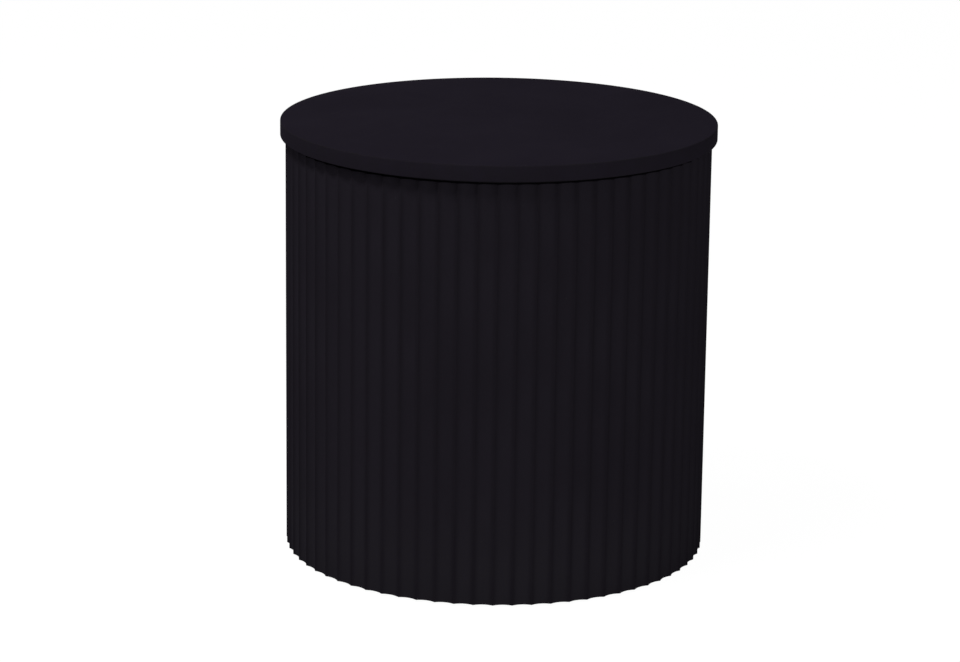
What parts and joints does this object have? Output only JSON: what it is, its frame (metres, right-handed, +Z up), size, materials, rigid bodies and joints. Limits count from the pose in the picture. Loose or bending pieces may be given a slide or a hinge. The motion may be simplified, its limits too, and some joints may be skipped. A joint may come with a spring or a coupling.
{
  "type": "lamp table",
  "caption": "Round drum side table: a flat round top slightly wider than a closed drum with upright flutes all round, on hidden levelling feet.",
  "frame": {"origin": "on the floor, under the middle of the table", "axes": "+Z up along the table's axis, -Y towards the front that the picture shows, +X to the right of it"},
  "size_m": [0.5, 0.4999, 0.505],
  "materials": {
    "black_lacquer": "matt black lacquer on fibreboard",
    "raw_board": "bare fibreboard",
    "black_board": "black sealed fibreboard",
    "softwood": "planed pine",
    "beech": "fluted beech dowel",
    "zinc_steel": "bright zinc plate",
    "black_plastic": "moulded, fine grain",
    "felt": "pressed felt"
  },
  "bodies": {
    "drum": {"top_panel": "black_lacquer", "fluted_wrap": "black_lacquer", "top_ring": "raw_board", "middle_ring": "raw_board", "base_board": "black_board", "stile_1": "softwood", "stile_2": "softwood", "stile_3": "softwood", "stile_4": "softwood", "stile_5": "softwood", "stile_6": "softwood", "stile_7": "softwood", "stile_8": "softwood", "top_screws": "zinc_steel", "top_ring_screws": "zinc_steel", "middle_ring_screws": "zinc_steel", "base_screws": "zinc_steel", "top_dowels": "beech", "foot_insert_1": "zinc_steel", "foot_insert_2": "zinc_steel", "foot_insert_3": "zinc_steel", "foot_insert_4": "zinc_steel"},
    "foot_1": {"foot_pad_1": "black_plastic", "foot_sole_1": "felt"},
    "stem_1": {"foot_stem_1": "zinc_steel"},
    "foot_2": {"foot_pad_2": "black_plastic", "foot_sole_2": "felt"},
    "stem_2": {"foot_stem_2": "zinc_steel"},
    "foot_3": {"foot_pad_3": "black_plastic", "foot_sole_3": "felt"},
    "stem_3": {"foot_stem_3": "zinc_steel"},
    "foot_4": {"foot_pad_4": "black_plastic", "foot_sole_4": "felt"},
    "stem_4": {"foot_stem_4": "zinc_steel"}
  },
  "joints": [
    {"name": "foot_1_height", "type": "slide", "parent": "drum", "child": "foot_1", "axis": [0, 0, -1], "range_m": [0, 0.01]},
    {"name": "foot_1_turn", "type": "hinge", "parent": "foot_1", "child": "stem_1", "pos_m": [-0.13421, 0.13421, 0], "axis": [0, 0, -1], "range_deg": [0, 2880]},
    {"name": "foot_2_height", "type": "slide", "parent": "drum", "child": "foot_2", "axis": [0, 0, -1], "range_m": [0, 0.01]},
    {"name": "foot_2_turn", "type": "hinge", "parent": "foot_2", "child": "stem_2", "pos_m": [-0.13421, -0.13421, 0], "axis": [0, 0, -1], "range_deg": [0, 2880]},
    {"name": "foot_3_height", "type": "slide", "parent": "drum", "child": "foot_3", "axis": [0, 0, -1], "range_m": [0, 0.01]},
    {"name": "foot_3_turn", "type": "hinge", "parent": "foot_3", "child": "stem_3", "pos_m": [0.13421, -0.13421, 0], "axis": [0, 0, -1], "range_deg": [0, 2880]},
    {"name": "foot_4_height", "type": "slide", "parent": "drum", "child": "foot_4", "axis": [0, 0, -1], "range_m": [0, 0.01]},
    {"name": "foot_4_turn", "type": "hinge", "parent": "foot_4", "child": "stem_4", "pos_m": [0.13421, 0.13421, 0], "axis": [0, 0, -1], "range_deg": [0, 2880]}
  ],
  "couplings": [
    {"joint": "foot_1_turn", "follows": "foot_1_height", "rad_per_m": 5026.5},
    {"joint": "foot_2_turn", "follows": "foot_2_height", "rad_per_m": 5026.5},
    {"joint": "foot_3_turn", "follows": "foot_3_height", "rad_per_m": 5026.5},
    {"joint": "foot_4_turn", "follows": "foot_4_height", "rad_per_m": 5026.5}
  ]
}
